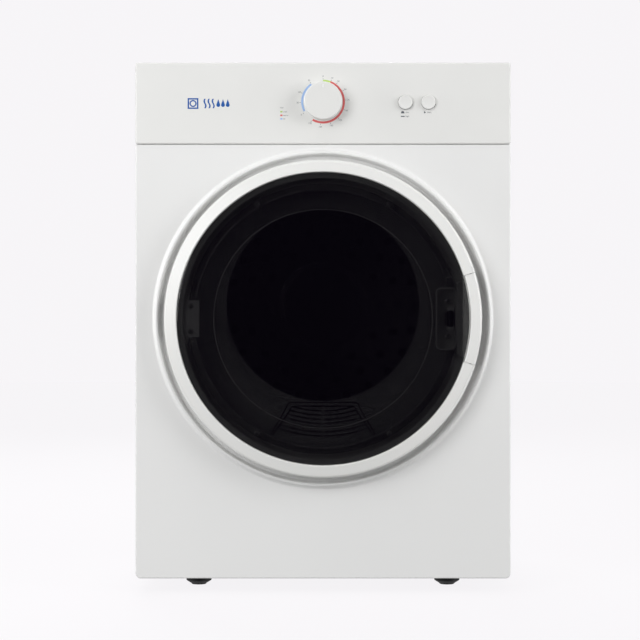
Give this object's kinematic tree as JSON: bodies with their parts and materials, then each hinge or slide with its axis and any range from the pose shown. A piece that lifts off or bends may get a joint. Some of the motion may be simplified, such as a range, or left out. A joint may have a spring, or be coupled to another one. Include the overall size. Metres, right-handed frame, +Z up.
{
  "type": "clothes dryer",
  "caption": "Free-standing front-loading vented tumble dryer with a large round smoked door, timer knob, push buttons and lift-out lint filter.",
  "frame": {"origin": "centre of the bounding box's bottom face, on the floor between the four feet", "axes": "+Z up, -Y the door side, +X to the right as seen from the front"},
  "size_m": [0.595, 0.56, 0.84],
  "materials": {
    "alu": "drawn",
    "black_rubber": "matt",
    "clear_bowl": "clear",
    "dark_plastic": "matt",
    "felt": "felt",
    "galvanised": "galvanised",
    "grey_plastic": "matt",
    "grey_rubber": "matt",
    "mesh": "fine woven mesh",
    "motor_paint": "black",
    "smoked_cover": "smoked gloss",
    "stainless": "satin",
    "white_abs": "fine texture",
    "white_gloss": "gloss",
    "white_steel": "white powder coat, satin"
  },
  "bodies": {
    "cabinet": {"base_tray": "galvanised", "side_panel_left": "white_steel", "side_panel_right": "white_steel", "back_panel": "galvanised", "back_cover": "galvanised", "worktop": "white_abs", "front_panel": "white_steel", "front_bulkhead": "white_steel", "drum_collar": "galvanised", "control_panel": "white_abs", "vent_collar": "dark_plastic", "exhaust_duct": "alu", "lint_duct": "grey_plastic", "blower_housing": "grey_plastic", "motor_body": "motor_paint", "motor_bracket": "galvanised", "front_felt_seal": "felt", "drum_glides": "dark_plastic", "rear_bearing_bracket": "galvanised", "heater_element": "stainless", "drive_belt": "black_rubber", "timer_body": "dark_plastic", "button_switches": "dark_plastic", "door_switch": "dark_plastic", "latch_catch": "stainless", "hinge_fixed_leaf": "white_steel", "cable_gland": "dark_plastic", "cabinet_screws": "stainless", "door_seal": "grey_rubber"},
    "door": {"door_ring": "white_gloss", "door_cover": "smoked_cover", "door_bowl": "clear_bowl", "door_inner_frame": "white_abs", "hinge_door_leaf": "white_steel", "hinge_pin": "stainless", "handle_cup": "white_abs", "door_screws": "stainless", "handle_pins": "stainless"},
    "door_grip": {"door_handle": "white_gloss"},
    "latch": {"latch_hook": "dark_plastic"},
    "drum": {"drum_shell": "stainless", "drum_rear_disc": "stainless", "drum_shaft": "stainless", "drum_baffle_1": "grey_plastic", "drum_baffle_2": "grey_plastic", "drum_baffle_3": "grey_plastic"},
    "rotor": {"motor_shaft": "stainless", "fan_impeller": "dark_plastic"},
    "idler_lever": {"idler_arm": "galvanised"},
    "idler_wheel": {"idler_pulley": "dark_plastic"},
    "knob": {"timer_knob": "white_gloss"},
    "heat_key": {"heat_button": "white_gloss"},
    "start_key": {"start_button": "white_gloss"},
    "filter": {"lint_filter_frame": "grey_plastic", "lint_filter_mesh": "mesh"},
    "plunger": {"door_switch_plunger": "white_abs"},
    "foot_fl": {"foot_front_left": "dark_plastic"},
    "foot_fr": {"foot_front_right": "dark_plastic"},
    "foot_rl": {"foot_rear_left": "dark_plastic"},
    "foot_rr": {"foot_rear_right": "dark_plastic"}
  },
  "joints": [
    {"name": "door_hinge", "type": "hinge", "parent": "cabinet", "child": "door", "pos_m": [-0.24, -0.258, 0.434], "axis": [0, 0, -1], "range_deg": [0, 150]},
    {"name": "handle_pivot", "type": "hinge", "parent": "door", "child": "door_grip", "pos_m": [0.232, -0.268, 0.434], "axis": [0, 0, -1], "range_deg": [0, 10], "stiffness_Nm_per_rad": 0.6},
    {"name": "latch_pivot", "type": "hinge", "parent": "door", "child": "latch", "pos_m": [0.201, -0.252, 0.434], "axis": [0, 0, 1], "range_deg": [0, 12]},
    {"name": "drum_spin", "type": "hinge", "parent": "cabinet", "child": "drum", "pos_m": [0, 0, 0.457], "axis": [0, -1, 0], "continuous": true},
    {"name": "rotor_spin", "type": "hinge", "parent": "cabinet", "child": "rotor", "pos_m": [0.17, 0, 0.13], "axis": [0, -1, 0], "continuous": true},
    {"name": "idler_swing", "type": "hinge", "parent": "cabinet", "child": "idler_lever", "pos_m": [0.175, 0.076, 0.08], "axis": [0, -1, 0], "range_deg": [0, 5], "stiffness_Nm_per_rad": 4, "springref_deg": -5.73},
    {"name": "idler_spin", "type": "hinge", "parent": "idler_lever", "child": "idler_wheel", "pos_m": [0.125, 0.067, 0.128], "axis": [0, -1, 0], "continuous": true},
    {"name": "timer_turn", "type": "hinge", "parent": "cabinet", "child": "knob", "pos_m": [0, -0.25, 0.778], "axis": [0, 1, 0], "range_deg": [0, 325]},
    {"name": "heat_press", "type": "slide", "parent": "cabinet", "child": "heat_key", "axis": [0, 1, 0], "range_m": [0, 0.003], "stiffness_N_per_m": 400},
    {"name": "start_press", "type": "slide", "parent": "cabinet", "child": "start_key", "axis": [0, 1, 0], "range_m": [0, 0.003], "stiffness_N_per_m": 400},
    {"name": "filter_lift", "type": "slide", "parent": "cabinet", "child": "filter", "axis": [0, 0, -1], "range_m": [-0.12, 0]},
    {"name": "door_switch_travel", "type": "slide", "parent": "cabinet", "child": "plunger", "axis": [0, -1, 0], "range_m": [0, 0.0026]},
    {"name": "foot_fl_adjust", "type": "slide", "parent": "cabinet", "child": "foot_fl", "axis": [0, 0, -1], "range_m": [0, 0.01]},
    {"name": "foot_fr_adjust", "type": "slide", "parent": "cabinet", "child": "foot_fr", "axis": [0, 0, -1], "range_m": [0, 0.01]},
    {"name": "foot_rl_adjust", "type": "slide", "parent": "cabinet", "child": "foot_rl", "axis": [0, 0, -1], "range_m": [0, 0.01]},
    {"name": "foot_rr_adjust", "type": "slide", "parent": "cabinet", "child": "foot_rr", "axis": [0, 0, -1], "range_m": [0, 0.01]}
  ],
  "couplings": [
    {"joint": "latch_pivot", "follows": "handle_pivot", "ratio": 1.2},
    {"joint": "rotor_spin", "follows": "drum_spin", "ratio": 39.592},
    {"joint": "idler_spin", "follows": "drum_spin", "ratio": -21.458},
    {"joint": "door_switch_travel", "follows": "door_hinge", "m_per_rad": 0.00095}
  ]
}
